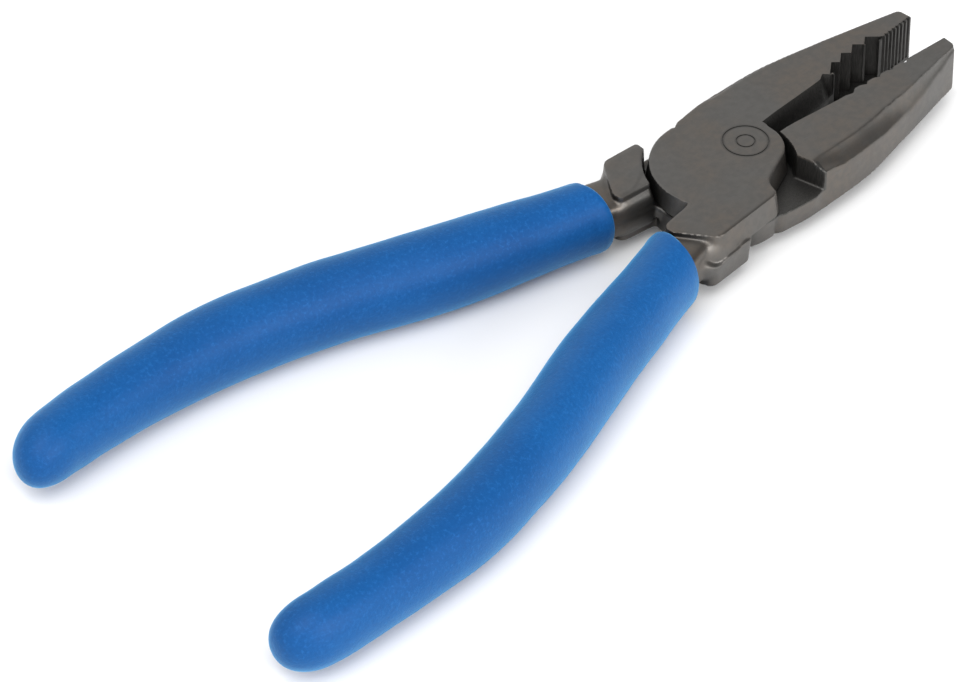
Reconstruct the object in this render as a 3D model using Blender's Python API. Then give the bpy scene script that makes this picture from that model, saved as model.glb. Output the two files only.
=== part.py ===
"""Combination pliers, 180 mm: two forged levers in a half-lap joint, a flush rivet and two dipped grips.

The two levers are one forging used twice. The back one is the front one turned half a turn about X,
through the middle of the head's thickness. Everything is drawn with the jaws closed on the X axis, in
millimetres turned to metres by MM, and each lever is then turned about the rivet by half of REST_OPENING.
The rivet's axis is Z, the jaws point along +X and the head's back face lies on z = 0.
"""

import math

import bmesh
import bpy
from mathutils import Matrix

MM = 0.001

# Head
HEAD_THICKNESS = 9.1 * MM
JAW_REACH = 49.5 * MM
HEAD_HALF_WIDTH = 11.9 * MM
REST_OPENING = math.radians(8.3)
MEETING_GAP = 0.12 * MM  # from each jaw to the X axis when they are closed

# Joint
JOINT_RADIUS = 11.5 * MM
RECESS_CLEARANCE = 0.9 * MM
LAP_GAP = 0.2 * MM
RIVET_RADIUS = 4.0 * MM
RIVET_CLEARANCE = 0.05 * MM

# Jaws
TIP_HEIGHT = 3.3 * MM
TIP_CORNER = 0.6 * MM
CUTTER_END = 28.2 * MM
CUTTER_SETBACK = 1.3 * MM
CUTTER_LAND = 0.3 * MM  # flat left along the cutting edge
CUTTER_THROAT = 3.4 * MM
PIPE_TEETH = 4
PIPE_PITCH = 2.95 * MM
PIPE_DEPTH = 1.15 * MM
PIPE_ARCH = 0.45 * MM
FINE_TEETH = 8
FINE_DEPTH = 0.3 * MM
FINE_START = 41.6 * MM
FINE_TAPER = math.radians(2.5)

# Shoulder, on the handle side of the joint
SHOULDER_LENGTH = 18.7 * MM
SHOULDER_HALF_WIDTH = 11.7 * MM
SHOULDER_INNER = 2.8 * MM
BLOCK_END = 6.9 * MM  # from the rivet to where the lower half of the shoulder starts
BLOCK_HALF_WIDTH = 12.4 * MM

# Handle: the middle line of the tang and grip with the jaws closed, from the joint to the end
HANDLE_LENGTH = 130.5 * MM
HANDLE_PATH = (
    (-13.0, -6.7),
    (-17.0, -7.0),
    (-21.2, -7.7),
    (-28.2, -9.2),
    (-45.0, -12.8),
    (-67.5, -18.8),
    (-89.8, -22.3),
    (-112.0, -21.9),
    (-131.0, -20.4),
)
TANG_HALF_WIDTHS = ((-15.0, 3.1), (-22.0, 3.7), (-60.0, 4.3), (-122.0, 2.8))
TANG_START = 15.0 * MM
TANG_HEIGHT_RATIO = 1.12
TANG_SQUARENESS = 4.0
TANG_STOP = 9.0 * MM  # from the tang's end to the grip's end

# Grip
GRIP_MOUTH = 21.0 * MM
GRIP_HALF_WIDTHS = ((-21.0, 5.3), (-50.0, 6.3), (-82.0, 6.2), (-115.0, 5.4), (-131.0, 4.9))
GRIP_HEIGHT_RATIO = 1.18
GRIP_SQUARENESS = 2.05
GRIP_LIP = 0.8 * MM
GRIP_GAP = 0.15 * MM

# Flat along each jaw's outer edge: share of the jaw's reach, width and depth
BACK_EDGE = (
    (0.12, 0.1, 0.1),
    (0.24, 2.6, 1.3),
    (0.45, 2.4, 1.9),
    (0.6, 2.0, 2.7),
    (0.72, 1.15, 3.1),
    (0.85, 0.75, 2.3),
    (1.02, 0.1, 0.3),
)

MIDDLE = HEAD_THICKNESS / 2
OVERCUT = 1.0 * MM
RIVET_SIDES = 48


def collection(name):
    made = bpy.data.collections.new(name)
    bpy.context.scene.collection.children.link(made)
    return made


def material(name, color, roughness, metallic):
    made = bpy.data.materials.new(name)
    made.use_nodes = True
    shader = made.node_tree.nodes["Principled BSDF"]
    shader.inputs["Base Color"].default_value = (*color, 1.0)
    shader.inputs["Roughness"].default_value = roughness
    shader.inputs["Metallic"].default_value = metallic
    made.diffuse_color = (*color, 1.0)
    return made


def arc(center, radius, start, end, steps):
    """Points on an arc, both ends included, with angles in degrees."""
    angles = [math.radians(start + (end - start) * i / steps) for i in range(steps + 1)]
    return [(center[0] + radius * math.cos(a), center[1] + radius * math.sin(a)) for a in angles]


def bend(start, corner, end, steps):
    """Points on the smooth bend that leaves start and reaches end along the lines to corner."""
    points = []
    for i in range(steps + 1):
        t = i / steps
        shares = ((1 - t) ** 2, 2 * t * (1 - t), t * t)
        points.append(tuple(sum(s * p[k] for s, p in zip(shares, (start, corner, end))) for k in (0, 1)))
    return points


def between(table, x):
    """Reads a table of (x, value) rows, ordered either way, along smooth steps between the rows."""
    rows = sorted(table)
    if x <= rows[0][0]:
        return rows[0][1]
    for (x0, v0), (x1, v1) in zip(rows, rows[1:]):
        if x <= x1:
            t = (x - x0) / (x1 - x0)
            return v0 + (v1 - v0) * t * t * (3 - 2 * t)
    return rows[-1][1]


def mesh_from(curve_object, name, group):
    """Turns a curve object into a mesh with welded caps whose origin is on the rivet's axis."""
    bpy.context.view_layer.update()
    graph = bpy.context.evaluated_depsgraph_get()
    mesh = bpy.data.meshes.new_from_object(curve_object.evaluated_get(graph))
    welder = bmesh.new()
    welder.from_mesh(mesh)
    bmesh.ops.remove_doubles(welder, verts=welder.verts, dist=0.001 * MM)
    bmesh.ops.recalc_face_normals(welder, faces=welder.faces)
    welder.to_mesh(mesh)
    welder.free()
    mesh.transform(curve_object.matrix_world)
    made = bpy.data.objects.new(name, mesh)
    group.objects.link(made)
    bpy.data.objects.remove(curve_object)
    return made


def slab(name, outline, bottom, top, group):
    """A flat outline in XY raised from bottom to top."""
    data = bpy.data.curves.new(name, "CURVE")
    data.dimensions = "2D"
    data.fill_mode = "BOTH"
    data.extrude = (top - bottom) / 2
    spline = data.splines.new("POLY")
    spline.points.add(len(outline) - 1)
    for point, (x, y) in zip(spline.points, outline):
        point.co = (x, y, 0, 1)
    spline.use_cyclic_u = True
    drawn = bpy.data.objects.new(name + "_outline", data)
    drawn.location.z = (bottom + top) / 2
    group.objects.link(drawn)
    return mesh_from(drawn, name, group)


def boolean(target, tool, operation="DIFFERENCE"):
    tool.hide_render = True
    tool.display_type = "WIRE"
    modifier = target.modifiers.new(tool.name, "BOOLEAN")
    modifier.operation = operation
    modifier.object = tool
    return modifier


def finished_copy(source, name, group):
    """A mesh object holding what source looks like with its modifiers applied."""
    bpy.context.view_layer.update()
    graph = bpy.context.evaluated_depsgraph_get()
    made = bpy.data.objects.new(name, bpy.data.meshes.new_from_object(source.evaluated_get(graph)))
    group.objects.link(made)
    return made


# ---------------------------------------------------------------- lever outline


def pipe_teeth():
    """The arched row of saw teeth that holds round stock, from the cutter towards the tip."""
    points = []
    for i in range(PIPE_TEETH):
        x = CUTTER_END + PIPE_PITCH * (i + 0.12)
        arch = PIPE_ARCH * math.sin(math.pi * (i + 0.75) / PIPE_TEETH)
        points.append((x, MEETING_GAP + CUTTER_SETBACK + 0.5 * arch))
        points.append((x + 0.5 * PIPE_PITCH, MEETING_GAP + 0.7 * CUTTER_SETBACK + arch))
        points.append((x + PIPE_PITCH * 0.98, MEETING_GAP + CUTTER_SETBACK + PIPE_DEPTH + arch))
    return points


def fine_teeth():
    """The flat gripping face at the tip: shallow grooves on a face that opens slightly towards the rivet."""
    pitch = (JAW_REACH - FINE_START) / FINE_TEETH
    points = []
    for i in range(FINE_TEETH):
        x = FINE_START + pitch * i
        face = MEETING_GAP + (JAW_REACH - x) * math.tan(FINE_TAPER)
        points.append((x, face))
        points.append((x + 0.55 * pitch, face))
        points.append((x + 0.8 * pitch, face + FINE_DEPTH))
    points.append((JAW_REACH, MEETING_GAP))
    return points


def jaw_back():
    """The jaw's outer side, from the tip to the joint."""
    width = HEAD_HALF_WIDTH
    straight_end = (0.595 * JAW_REACH, 0.775 * width)
    slope = (straight_end[1] - TIP_HEIGHT) / (JAW_REACH - TIP_CORNER - straight_end[0])
    corner = (straight_end[0] - (width - straight_end[1]) / slope, width)
    points = [(JAW_REACH, TIP_HEIGHT - TIP_CORNER), (JAW_REACH - TIP_CORNER, TIP_HEIGHT)]
    points += bend(straight_end, corner, (0.18 * JAW_REACH, width), 6)
    points += [(0.29 * JOINT_RADIUS, 0.985 * width), (0.2 * JOINT_RADIUS, 0.96 * JOINT_RADIUS)]
    return points


def shoulder_end(side):
    """The shoulder's end above the neck, from its inner corner round to its outer side."""
    end = -SHOULDER_LENGTH
    inner = -SHOULDER_INNER
    corner = (1.01 * end, inner - 0.4 * MM)
    points = bend((0.86 * end, inner - 0.15 * MM), corner, (0.98 * end, 1.9 * inner), 4)
    points += bend((0.81 * end, 0.9 * side), (0.77 * end, side), (0.68 * end, side), 3)
    return points


def block_outline():
    """The lower half of the shoulder, a little wider than the upper one."""
    side = -BLOCK_HALF_WIDTH
    points = shoulder_end(side)
    points += bend((-BLOCK_END - 1.2 * MM, side), (-BLOCK_END, side), (-BLOCK_END, side + 1.2 * MM), 3)
    points += [(-BLOCK_END, -0.7 * BLOCK_HALF_WIDTH)]
    return points


def lever_outline():
    """The whole outline of a lever's upper half, anticlockwise from the cutter's throat."""
    throat = JOINT_RADIUS + RECESS_CLEARANCE
    relief = MEETING_GAP + CUTTER_SETBACK
    edge_start = throat + CUTTER_THROAT
    points = [(throat, relief)]
    points += bend((edge_start - 0.8 * MM, relief), (edge_start, relief), (edge_start, MEETING_GAP), 3)
    points += [(CUTTER_END, MEETING_GAP)]
    points += pipe_teeth()
    points += fine_teeth()
    points += jaw_back()
    points += arc((0, 0), JOINT_RADIUS, 82, 192, 14)
    inner = -SHOULDER_INNER
    side = -SHOULDER_HALF_WIDTH
    points += [(-JOINT_RADIUS, inner + 0.2 * MM), (-1.05 * JOINT_RADIUS, inner)]
    points += shoulder_end(side)
    points += [(-0.5 * MM, side), (0.4 * MM, side + 0.35 * MM)]
    points += bend((1.1 * MM, 0.83 * side), (1.6 * MM, 0.74 * side), (2.9 * MM, 0.7 * side), 3)
    lobe = throat - 0.15 * MM
    points += bend((0.72 * lobe, -0.5 * lobe), (1.0 * lobe, -0.33 * lobe), (lobe, -0.01 * lobe), 6)
    return points


def recess_outline():
    """What the other lever's half of the joint needs: the lower half of this lever stays outside it."""
    radius = JOINT_RADIUS + RECESS_CLEARANCE
    far = 2 * HEAD_HALF_WIDTH
    points = arc((0, 0), radius, -20, 32, 7)
    points += [(0.98 * radius, 1.02 * HEAD_HALF_WIDTH), (1.0 * radius, far), (-far, far)]
    points += [(-far, -1.2 * SHOULDER_INNER)]
    block_angle = 360 - math.degrees(math.acos(-BLOCK_END / radius))
    points += arc((0, 0), radius, 195, block_angle, 5)
    points += [(-BLOCK_END, -far), (radius, -far)]
    return points


def height_at(points, x):
    """The y of a line of points, ordered by x, at one x."""
    for (x0, y0), (x1, y1) in zip(points, points[1:]):
        if x0 <= x <= x1 and x1 > x0:
            return y0 + (y1 - y0) * (x - x0) / (x1 - x0)
    return points[0][1] if x < points[0][0] else points[-1][1]


def loft(name, sections, group):
    """A closed solid through sections that each hold an x and the same number of (y, z) points."""
    shape = bmesh.new()
    rings = [[shape.verts.new((x, y, z)) for y, z in points] for x, points in sections]
    count = len(rings[0])
    for first, second in zip(rings, rings[1:]):
        for i in range(count):
            j = (i + 1) % count
            shape.faces.new((first[i], first[j], second[j], second[i]))
    shape.faces.new(rings[0][::-1])
    shape.faces.new(rings[-1])
    bmesh.ops.recalc_face_normals(shape, faces=shape.faces)
    mesh = bpy.data.meshes.new(name)
    shape.to_mesh(mesh)
    shape.free()
    made = bpy.data.objects.new(name, mesh)
    group.objects.link(made)
    return made


def corner_section(y, width, depth, side):
    """A triangle that takes a sloping flat off a corner at y, width across the face and depth down the side.

    side is 1 for the corner at the head's front face and -1 for the one at its back face.
    """
    reach = width * OVERCUT / depth
    triangle = ((y - width - reach, OVERCUT), (y + reach, -depth - OVERCUT), (y + reach, OVERCUT))
    return [(across, MIDDLE + side * (MIDDLE + up)) for across, up in triangle]


def back_edge_cutter(side, group):
    """The flat along the jaw's outer edge: wide at the joint, steep midway and gone at the tip."""
    outline = sorted(jaw_back())
    sections = []
    for share, width, depth in BACK_EDGE:
        x = share * JAW_REACH
        sections.append((x, corner_section(height_at(outline, x), width * MM, depth * MM, side)))
    return loft("back_edge_front" if side > 0 else "back_edge_rear", sections, group)


def cutter_bevel(side, group):
    """The wire cutter's bevel, from the edge at the middle of the thickness up to a face of the head."""
    depth = MIDDLE - CUTTER_LAND / 2
    section = corner_section(0, CUTTER_SETBACK, depth, side)
    flipped = [(MEETING_GAP - y, z) for y, z in section]
    start = JOINT_RADIUS + RECESS_CLEARANCE + CUTTER_THROAT
    name = "cutter_bevel_front" if side > 0 else "cutter_bevel_rear"
    return loft(name, [(start, flipped), (CUTTER_END + 0.12 * PIPE_PITCH, flipped)], group)


def handle_point(x):
    """The handle's middle line at x, in metres, as a smooth curve through HANDLE_PATH."""
    rows = [(a * MM, b * MM) for a, b in HANDLE_PATH]
    rows.sort()
    slopes = []
    for i in range(len(rows)):
        before = rows[max(i - 1, 0)]
        after = rows[min(i + 1, len(rows) - 1)]
        slopes.append((after[1] - before[1]) / (after[0] - before[0]))
    for i in range(len(rows) - 1):
        if x <= rows[i + 1][0] or i == len(rows) - 2:
            span = rows[i + 1][0] - rows[i][0]
            t = (x - rows[i][0]) / span
            value = (1 + 2 * t) * (1 - t) ** 2 * rows[i][1] + t * t * (3 - 2 * t) * rows[i + 1][1]
            lean = t * (1 - t) ** 2 * slopes[i] - t * t * (1 - t) * slopes[i + 1]
            return x, value + span * lean


def superellipse(name, ratio, squareness, count, group):
    """A closed profile curve with a half-width of 1 and a half-height of ratio."""
    data = bpy.data.curves.new(name, "CURVE")
    data.dimensions = "2D"
    spline = data.splines.new("POLY")
    spline.points.add(count - 1)
    power = 2 / squareness
    for i, point in enumerate(spline.points):
        angle = 2 * math.pi * (i + 0.5) / count
        across = math.copysign(abs(math.cos(angle)) ** power, math.cos(angle))
        up = math.copysign(abs(math.sin(angle)) ** power, math.sin(angle))
        point.co = (across, ratio * up, 0, 1)
    spline.use_cyclic_u = True
    made = bpy.data.objects.new(name, data)
    made.hide_render = True
    group.objects.link(made)
    return made


def swept(name, stations, profile, group):
    """Sweeps a profile along the handle's middle line: stations are (x, half-width) in metres."""
    data = bpy.data.curves.new(name, "CURVE")
    data.dimensions = "3D"
    data.twist_mode = "Z_UP"
    data.bevel_mode = "OBJECT"
    data.bevel_object = profile
    data.use_fill_caps = True
    spline = data.splines.new("POLY")
    spline.points.add(len(stations) - 1)
    for point, (x, half_width) in zip(spline.points, stations):
        point.co = (*handle_point(x), MIDDLE, 1)
        point.radius = half_width
    drawn = bpy.data.objects.new(name + "_line", data)
    group.objects.link(drawn)
    return mesh_from(drawn, name, group)


def even_steps(start, end, count):
    return [start + (end - start) * i / count for i in range(count + 1)]


def tang(name, extra, group):
    """The tapering bar inside the grip, or the room for it when extra is the gap around it."""
    profile = superellipse(name + "_profile", TANG_HEIGHT_RATIO, TANG_SQUARENESS, 16, group)
    end = -(HANDLE_LENGTH - TANG_STOP)
    stations = []
    for x in even_steps(-TANG_START, end, 20):
        stations.append((x, between(TANG_HALF_WIDTHS, x / MM) * MM + extra))
    stations.append((end - 1.2 * MM - extra, stations[-1][1] * 0.8))
    return swept(name, stations, profile, group)


def grip_outside(group):
    """The grip's outer shape: a rounded lip at the mouth and a domed end."""
    profile = superellipse("grip_profile", GRIP_HEIGHT_RATIO, GRIP_SQUARENESS, 28, group)
    end_width = between(GRIP_HALF_WIDTHS, -HANDLE_LENGTH / MM) * MM
    dome_start = -HANDLE_LENGTH + end_width
    mouth_width = GRIP_HALF_WIDTHS[0][1] * MM
    stations = []
    for turn in (15, 45, 75):
        angle = math.radians(turn)
        shrink = GRIP_LIP * (1 - math.sin(angle))
        stations.append((-GRIP_MOUTH - GRIP_LIP * (1 - math.cos(angle)), mouth_width - shrink))
    for x in even_steps(-GRIP_MOUTH - 2 * GRIP_LIP, dome_start, 26):
        stations.append((x, between(GRIP_HALF_WIDTHS, x / MM) * MM))
    for turn in (18, 36, 54, 70, 83):
        angle = math.radians(turn)
        stations.append((dome_start - end_width * math.sin(angle), end_width * math.cos(angle)))
    return swept("grip_front", stations, profile, group)


# ---------------------------------------------------------------- the pieces


def make_lever(parts, tools):
    lever = slab("lever_front", lever_outline(), 0, HEAD_THICKNESS, parts)
    half = MIDDLE + LAP_GAP / 2
    boolean(lever, slab("lower_block", block_outline(), 0, half, tools), "UNION")
    boolean(lever, slab("joint_recess", recess_outline(), -OVERCUT, half, tools))
    for side in (1, -1):
        boolean(lever, back_edge_cutter(side, tools))
        boolean(lever, cutter_bevel(side, tools))
    boolean(lever, tang("tang", 0, tools), "UNION")
    bore = arc((0, 0), RIVET_RADIUS + RIVET_CLEARANCE, 0, 360 - 360 / RIVET_SIDES, RIVET_SIDES - 1)
    boolean(lever, slab("rivet_bore", bore, -OVERCUT, HEAD_THICKNESS + OVERCUT, tools))
    return lever


def make_grip(parts, tools):
    grip = grip_outside(parts)
    boolean(grip, tang("tang_room", GRIP_GAP, tools))
    return grip


def make_rivet(parts):
    bpy.ops.mesh.primitive_cylinder_add(vertices=RIVET_SIDES, radius=RIVET_RADIUS, depth=HEAD_THICKNESS)
    rivet = bpy.context.object
    rivet.name = "pivot_rivet"
    rivet.data.transform(Matrix.Rotation(math.radians(90), 4, "Z") @ Matrix.Translation((0, 0, MIDDLE)))
    for holder in list(rivet.users_collection):
        holder.objects.unlink(rivet)
    parts.objects.link(rivet)
    return rivet


def turned_over():
    """Half a turn about X through the middle of the head: it takes the front lever to the back one."""
    lift = Matrix.Translation((0, 0, MIDDLE))
    return lift @ Matrix.Rotation(math.pi, 4, "X") @ lift.inverted()


def finish(obj, look, sharp=35):
    obj.data.materials.clear()
    obj.data.materials.append(look)
    obj.data.shade_smooth()
    obj.data.set_sharp_from_angle(angle=math.radians(sharp))


def main():
    for obj in list(bpy.data.objects):
        bpy.data.objects.remove(obj)
    parts = collection("combination_pliers")
    tools = collection("cutters")
    steel = material("blackened_steel", (0.115, 0.105, 0.095), 0.42, 0.85)
    rivet_steel = material("rivet_steel", (0.13, 0.12, 0.11), 0.4, 0.85)
    dipped = material("blue_dip_coating", (0.03, 0.15, 0.45), 0.6, 0.0)

    lever_front = make_lever(parts, tools)
    grip_front = make_grip(parts, tools)
    lever_back = finished_copy(lever_front, "lever_back", parts)
    grip_back = finished_copy(grip_front, "grip_back", parts)
    rivet = make_rivet(parts)
    for obj in (lever_front, lever_back):
        finish(obj, steel)
    for obj in (grip_front, grip_back):
        finish(obj, dipped)
    finish(rivet, rivet_steel)

    # Each lever turns by half of the opening about the rivet, with its cutters and its grip.
    front_joint = bpy.data.objects.new("front_joint", None)
    front_joint.rotation_euler.z = REST_OPENING / 2
    back_joint = bpy.data.objects.new("back_joint", None)
    back_joint.rotation_euler.z = -REST_OPENING / 2
    for joint in (front_joint, back_joint):
        parts.objects.link(joint)
    for obj in (lever_front, grip_front, *tools.objects):
        obj.parent = front_joint
    for obj in (lever_back, grip_back):
        obj.data.transform(turned_over())
        obj.parent = back_joint
    rivet.parent = back_joint


main()
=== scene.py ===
"""Combination pliers: two forged levers, a rivet, two dipped grips and a plain stage.

Sizes are in millimetres and turned to metres by MM. Both levers come from one description, with
the jaws closed on the X axis, the rivet on Z and the head's back face on z = 0. The back one is
then turned over, and both are opened by half of the resting angle.
"""

import math

import bpy
import numpy as np
from mathutils import Matrix, Vector


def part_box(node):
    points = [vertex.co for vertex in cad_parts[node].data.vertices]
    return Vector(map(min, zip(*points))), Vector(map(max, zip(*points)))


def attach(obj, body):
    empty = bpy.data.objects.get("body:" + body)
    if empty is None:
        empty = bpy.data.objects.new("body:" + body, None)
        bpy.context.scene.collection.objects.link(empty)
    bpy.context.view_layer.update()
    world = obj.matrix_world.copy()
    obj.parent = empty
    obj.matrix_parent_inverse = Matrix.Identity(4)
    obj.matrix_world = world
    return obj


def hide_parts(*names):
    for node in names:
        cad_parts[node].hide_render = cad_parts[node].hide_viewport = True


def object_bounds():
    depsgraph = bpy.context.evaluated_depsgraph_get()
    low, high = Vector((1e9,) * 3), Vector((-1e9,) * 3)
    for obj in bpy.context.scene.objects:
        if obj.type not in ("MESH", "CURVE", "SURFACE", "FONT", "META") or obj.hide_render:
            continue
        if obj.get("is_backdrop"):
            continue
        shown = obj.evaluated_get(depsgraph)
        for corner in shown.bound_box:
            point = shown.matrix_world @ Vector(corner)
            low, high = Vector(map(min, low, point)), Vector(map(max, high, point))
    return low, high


bl_info = {
    "name": "Combination Pliers",
    "version": (1, 0, 0),
    "blender": (4, 5, 0),
    "location": "View3D > Sidebar > Pliers",
    "description": "Builds a pair of combination pliers round its packed frame, with its stage",
    "category": "Object",
}

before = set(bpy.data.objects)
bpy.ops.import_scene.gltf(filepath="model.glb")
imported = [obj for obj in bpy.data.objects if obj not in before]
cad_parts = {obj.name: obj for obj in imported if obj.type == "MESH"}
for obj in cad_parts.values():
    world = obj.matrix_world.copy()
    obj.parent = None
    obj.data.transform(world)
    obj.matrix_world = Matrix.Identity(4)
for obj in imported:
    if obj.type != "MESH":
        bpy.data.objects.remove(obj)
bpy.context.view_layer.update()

MM = 0.001
HEAD_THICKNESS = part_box("pivot_rivet")[1].z / MM
MIDDLE = HEAD_THICKNESS / 2
REST_HALF_ANGLE = 4.15

JAW_REACH = 49.5
HEAD_HALF_WIDTH = 11.9
JOINT_RADIUS = 11.5
RECESS_RADIUS = 12.4
SHOULDER_LENGTH = 18.7
SHOULDER_HALF_WIDTH = 11.7
SHOULDER_INNER = 2.8
BLOCK_END = 6.9
BLOCK_HALF_WIDTH = 12.4
MEETING_GAP = 0.12
FINE_START = 41.6
TIP_HEIGHT = 3.1

# The rivet runs in a bore that ends under a thin skin of each head face
BORE_RADIUS = 4.0
RIVET_RADIUS = 3.98
SKIN = 0.2
RIVET_END_GAP = 0.01

# Two plain rings stamped in the front face, centred in the closed lever's own axes
RING_CENTRE = (6.9, 0.35)
RING_RADII = (3.75, 1.5)
RING_DEPTH = 0.12
RING_HALF_WIDTH = 0.22

# The box that holds a lever's forging, and the ends of the tang that goes on inside the grip
FIELD_LOW = (-31.0, -14.6, -0.9)
FIELD_HIGH = (50.6, 13.0, HEAD_THICKNESS + 0.9)
TANG_START, TANG_END = -28.5, -121.5

HANDLE_LINE = (
    (-13.0, -6.7), (-17.0, -7.0), (-21.2, -7.7), (-28.2, -9.2), (-45.0, -12.8),
    (-67.5, -18.8), (-89.8, -22.3), (-112.0, -21.9), (-131.0, -20.4),
)
TANG_HALF_WIDTHS = (
    (-15.0, 4.0), (-22.0, 4.25), (-32.0, 4.2), (-60.0, 4.3), (-122.0, 2.8),
)
NECK_HALF_HEIGHTS = ((-15.0, 3.55), (-22.0, 3.7), (-29.0, 4.6))
GRIP_HALF_WIDTHS = (
    (-21.0, 5.3), (-50.0, 6.3), (-82.0, 6.2), (-115.0, 5.4), (-131.0, 4.9),
)

# The grips are dipped one by one, so each has its own mouth, end, sideways shift and swell along x
GRIPS = {
    "front": {
        "mouth": -20.9, "end": -130.2, "dome": 7.5, "bluntness": 0.8,
        "shift": ((-21, -0.15), (-33, -0.15), (-110, -0.15), (-119, 0.05), (-132, 1.3)),
        "swell": (
            (-21, 0.55), (-32, 0.25), (-45, 0.0), (-110, 0.0), (-120, 0.2), (-132, 0.3),
        ),
    },
    "back": {
        "mouth": -21.5, "end": -129.9, "dome": 7.4, "bluntness": 0.85,
        "shift": (
            (-21, 0.3), (-30, 0.25), (-57, 0.45), (-70, 0.12),
            (-106, 0.08), (-114, 0.2), (-120, 0.5), (-130, 1.9),
        ),
        "swell": ((-21, 0.25), (-30, 0.15), (-60, 0.0), (-120, 0.0), (-130, 0.0)),
    },
}

# The milled flat on a jaw's outer edge: x, width across the face, depth down the side
OUTER_FLAT = (
    (8.0, 0.4, 0.2), (12.8, 2.75, 1.2), (17.6, 2.65, 1.95), (23.1, 2.4, 2.05), (28.6, 2.15, 2.7),
    (32.0, 1.7, 3.05), (35.2, 1.15, 3.5), (38.5, 0.95, 3.25), (44.5, 0.55, 2.1), (48.8, 0.15, 0.9),
    (50.0, 0.1, 0.3),
)

# The cutter's bevels, as x and width across the face: on the disc's face, then on the other one
FRONT_BEVEL = ((12.4, 1.3), (15.6, 1.32), (27.0, 1.0), (28.4, 1.55), (29.4, 0.45))
BACK_BEVEL = ((12.4, 0.2), (15.6, 0.25), (27.0, 0.6), (28.4, 0.9), (29.4, 0.3))

# The pipe grip's hollow between the cutter and the fine teeth, as x and y, and its lowest z
PIPE_ARCH = (
    (29.5, -1), (29.7, 0.7), (30.0, 1.05), (33.0, 1.5),
    (35.9, 1.6), (38.5, 1.3), (41.2, 0.6), (41.5, -1),
)
PIPE_FLOOR = 0.9

# Rows of teeth. The values named in TOOTH_NUMBERS are plain numbers, the others millimetres
PIPE_TEETH = {
    "Teeth": 4, "Start": 31.5, "Pitch": 2.92, "Tip Height": 1.02, "Arch": 0.55,
    "Half Width": 1.5, "Depth": 1.3, "Lean": -0.12, "Middle": 5.9, "Thickness": 10,
}
PIPE_MARKS = {
    "Teeth": 4, "Start": 31.5, "Pitch": 2.92, "Tip Height": 0.1,
    "Half Width": 1.1, "Depth": 0.7, "Lean": -0.12,
}
FINE_TEETH = {
    "Teeth": 8, "Start": 42.3, "Pitch": 0.915, "Tip Height": 0.27, "Slope": -0.034,
    "Half Width": 0.26, "Depth": 0.45, "Lean": 0.25, "Middle": 5.9, "Thickness": 10,
}
TOOTH_NUMBERS = {"Teeth", "Slope", "Lean"}

# Where the block's outer corner lies on each lever, as a share of the shoulder's length
FRONT_CORNER = 0.86
BACK_CORNER = 0.76

# The camera: turn, tilt and roll in degrees, the point it looks at and its distance in metres
CAMERA_ANGLES = (46.22, 41.16, 1.235)
CAMERA_AIM = (-0.05097, 0.00321, 0)
CAMERA_DISTANCE = 1.5254
CAMERA_LENS = 357.5


# ---- tables, outlines


def along(table, x):
    """Reads a table of (x, value) rows along smooth steps, for one x or an array of them."""
    rows = sorted(table)
    at = np.array([row[0] for row in rows])
    value = np.array([row[1] for row in rows])
    x = np.asarray(x, float)
    i = np.clip(np.searchsorted(at, x) - 1, 0, len(rows) - 2)
    t = np.clip((x - at[i]) / (at[i + 1] - at[i]), 0, 1)
    return value[i] + (value[i + 1] - value[i]) * t * t * (3 - 2 * t)


def handle_line(x):
    """The handle's middle line at x, as y and its slope, on a smooth curve through HANDLE_LINE."""
    rows = np.array(sorted(HANDLE_LINE))
    at, level = rows[:, 0], rows[:, 1]
    ends = np.clip(np.arange(len(at))[:, None] + (-1, 1), 0, len(at) - 1)
    lean = (level[ends[:, 1]] - level[ends[:, 0]]) / (at[ends[:, 1]] - at[ends[:, 0]])
    x = np.asarray(x, float)
    i = np.clip(np.searchsorted(at, x) - 1, 0, len(at) - 2)
    span = at[i + 1] - at[i]
    t = (x - at[i]) / span
    y = (1 + 2 * t) * (1 - t) ** 2 * level[i] + t * t * (3 - 2 * t) * level[i + 1]
    y = y + span * (t * (1 - t) ** 2 * lean[i] - t * t * (1 - t) * lean[i + 1])
    slope = 6 * t * (1 - t) * (level[i + 1] - level[i]) / span
    slope = slope + (1 - t) * (1 - 3 * t) * lean[i] - t * (2 - 3 * t) * lean[i + 1]
    return y, slope


def arc(radius, start, end, steps):
    angles = np.radians(np.linspace(start, end, steps + 1))
    return [(radius * math.cos(a), radius * math.sin(a)) for a in angles]


def bend(start, corner, end, steps):
    """Points on the smooth bend from start to end along the lines to corner."""
    start, corner, end = (np.array(p, float) for p in (start, corner, end))
    return [
        tuple((1 - t) ** 2 * start + 2 * t * (1 - t) * corner + t * t * end)
        for t in np.linspace(0, 1, steps + 1)
    ]


def jaw_outer_side():
    """The jaw's outer side, from the tip to the joint."""
    width = HEAD_HALF_WIDTH
    straight_end = (0.595 * JAW_REACH, 0.775 * width)
    slope = (straight_end[1] - TIP_HEIGHT) / (JAW_REACH - 0.6 - straight_end[0])
    corner = (straight_end[0] - (width - straight_end[1]) / slope, width)
    tip = (JAW_REACH, TIP_HEIGHT)
    points = bend((JAW_REACH, TIP_HEIGHT - 0.9), tip, (JAW_REACH - 1.0, TIP_HEIGHT + 0.2), 4)
    points += bend(straight_end, corner, (0.18 * JAW_REACH, width), 14)
    points += bend((3.6, 0.985 * width), (2.6, 0.97 * width), (2.0, 0.962 * JOINT_RADIUS), 4)
    return points


def shoulder_end(side, corner, steps=8):
    """The shoulder's end above the neck, from its inner corner round to its outer side."""
    end = -SHOULDER_LENGTH
    inner = -SHOULDER_INNER
    points = bend((0.9 * end, inner - 0.3), (end, inner - 0.5), (0.985 * end, 1.9 * inner), steps)
    before, after = ((corner + 0.03) * end, 0.93 * side), ((corner - 0.06) * end, side)
    return points + bend(before, (corner * end, side), after, steps)


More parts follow.
